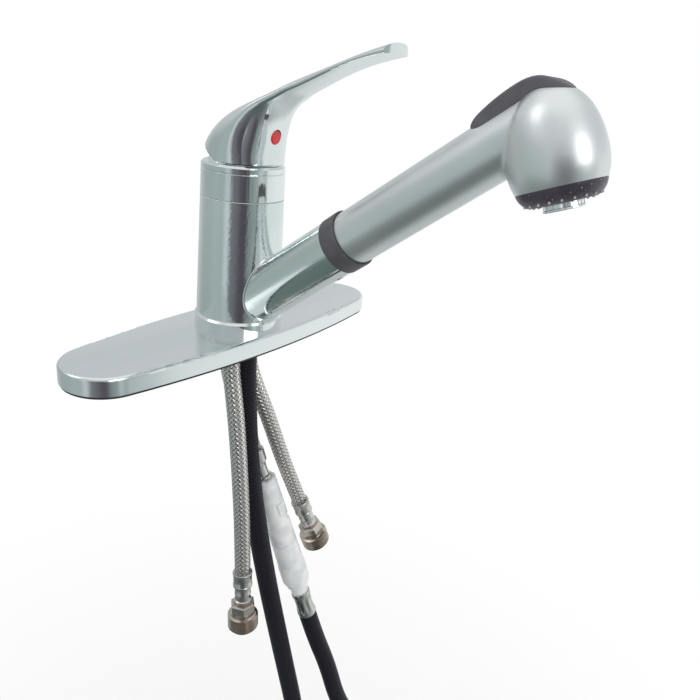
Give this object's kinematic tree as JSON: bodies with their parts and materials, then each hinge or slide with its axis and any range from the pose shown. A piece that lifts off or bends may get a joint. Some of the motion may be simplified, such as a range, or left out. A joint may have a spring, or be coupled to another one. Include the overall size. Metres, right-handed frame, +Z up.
{
  "type": "pull-out kitchen faucet",
  "caption": "Single-lever kitchen faucet on a long oval deck plate, with a slanting swivel spout, a pull-out spray wand on a hose, and braided supply hoses below.",
  "frame": {"origin": "on the deck surface, on the upright axis of the body, at the middle of the deck plate", "axes": "+Z up, the spout and wand point to -Y at rest, +X along the deck plate"},
  "size_m": [0.2858, 0.2497, 0.7761],
  "materials": {
    "polished_chrome": "polished",
    "satin_silver": "satin",
    "charcoal_plastic": "matte",
    "face_plastic": "satin",
    "cast_brass": "as cast",
    "nickel_plate": "plated",
    "steel_braid": "braided",
    "nylon_braid": "braided",
    "milky_plastic": "satin",
    "grey_plastic": "matte",
    "white_plastic": "matte",
    "black_rubber": "matte",
    "grey_rubber": "matte",
    "ceramic": "lapped",
    "steel": "machined",
    "red_plastic": "gloss"
  },
  "bodies": {
    "base": {"deck_plate": "polished_chrome", "deck_gasket": "black_rubber", "plate_frame": "charcoal_plastic", "base_ring": "polished_chrome", "valve_body": "cast_brass", "hose_nipples": "nickel_plate", "lower_bush": "white_plastic", "upper_bush": "white_plastic", "bonnet": "polished_chrome", "cartridge_base": "grey_plastic", "cartridge_seals": "black_rubber", "cartridge_housing": "grey_plastic", "cartridge_nut": "cast_brass", "fixed_disc": "ceramic", "hot_supply_hose": "steel_braid", "hot_ferrule": "nickel_plate", "hot_inlet_fitting": "nickel_plate", "cold_supply_hose": "steel_braid", "cold_ferrule": "nickel_plate", "cold_inlet_fitting": "nickel_plate", "outlet_hose": "steel_braid", "outlet_ferrule": "nickel_plate", "connector_socket": "milky_plastic", "connector_plug": "milky_plastic", "connector_o_ring": "black_rubber", "check_valve_spring": "steel", "hose_ferrule": "nickel_plate", "hose_down": "nylon_braid", "hose_coil": "nylon_braid", "hose_up": "nylon_braid", "coil_tie": "black_rubber"},
    "spout": {"spout_body": "polished_chrome", "hose_guide": "charcoal_plastic", "guide_screw": "steel", "inner_hose": "nylon_braid"},
    "wand": {"wand_shell": "satin_silver", "wand_tail": "charcoal_plastic", "hose_end_fitting": "nickel_plate", "hose_washer": "black_rubber", "waterway_tube": "white_plastic", "head_core": "grey_plastic", "face_seal": "black_rubber", "spray_face": "face_plastic", "spray_nozzles": "grey_rubber", "aerator_housing": "nickel_plate", "aerator_insert": "grey_plastic", "toggle_pin": "steel", "diverter_spring": "steel"},
    "toggle": {"toggle_pad": "charcoal_plastic"},
    "diverter": {"diverter_stem": "cast_brass"},
    "rotor": {"stem_carrier": "white_plastic", "stem_pin": "steel"},
    "lever": {"handle": "polished_chrome", "cartridge_stem": "steel", "handle_screw": "steel", "index_button": "red_plastic"},
    "disc": {"moving_disc": "ceramic", "disc_carrier": "white_plastic"},
    "poppet": {"check_valve_poppet": "white_plastic"}
  },
  "joints": [
    {"name": "spout_swivel", "type": "hinge", "parent": "base", "child": "spout", "pos_m": [0, 0, 0.05], "axis": [0, 0, 1], "range_deg": [-60, 60], "deforming": ["inner_hose"]},
    {"name": "wand_pull", "type": "slide", "parent": "spout", "child": "wand", "axis": [0, -0.7944, 0.6074], "range_m": [0, 0.4]},
    {"name": "spray_toggle", "type": "hinge", "parent": "wand", "child": "toggle", "pos_m": [0, -0.169, 0.1612], "axis": [1, 0, 0], "range_deg": [0, 6.05]},
    {"name": "diverter_slide", "type": "slide", "parent": "wand", "child": "diverter", "axis": [0, -0.3746, -0.9272], "range_m": [0, 0.00178], "stiffness_N_per_m": 40, "springref_m": -0.002, "deforming": ["diverter_spring"]},
    {"name": "handle_turn", "type": "hinge", "parent": "base", "child": "rotor", "pos_m": [0, 0, 0.104], "axis": [0, 0, 1], "range_deg": [-50, 50]},
    {"name": "handle_lift", "type": "hinge", "parent": "rotor", "child": "lever", "pos_m": [0, 0, 0.104], "axis": [-1, 0, 0], "range_deg": [0, 25]},
    {"name": "disc_slide", "type": "slide", "parent": "rotor", "child": "disc", "axis": [0, -1, 0], "range_m": [0, 0.0056]},
    {"name": "check_valve", "type": "slide", "parent": "base", "child": "poppet", "axis": [0.2034, -0.2325, -0.9511], "range_m": [0, 0.0025], "stiffness_N_per_m": 150, "springref_m": -0.002, "deforming": ["check_valve_spring"]}
  ],
  "couplings": [
    {"joint": "spray_toggle", "follows": "diverter_slide", "rad_per_m": 58.69},
    {"joint": "disc_slide", "follows": "handle_lift", "m_per_rad": 0.012591}
  ]
}
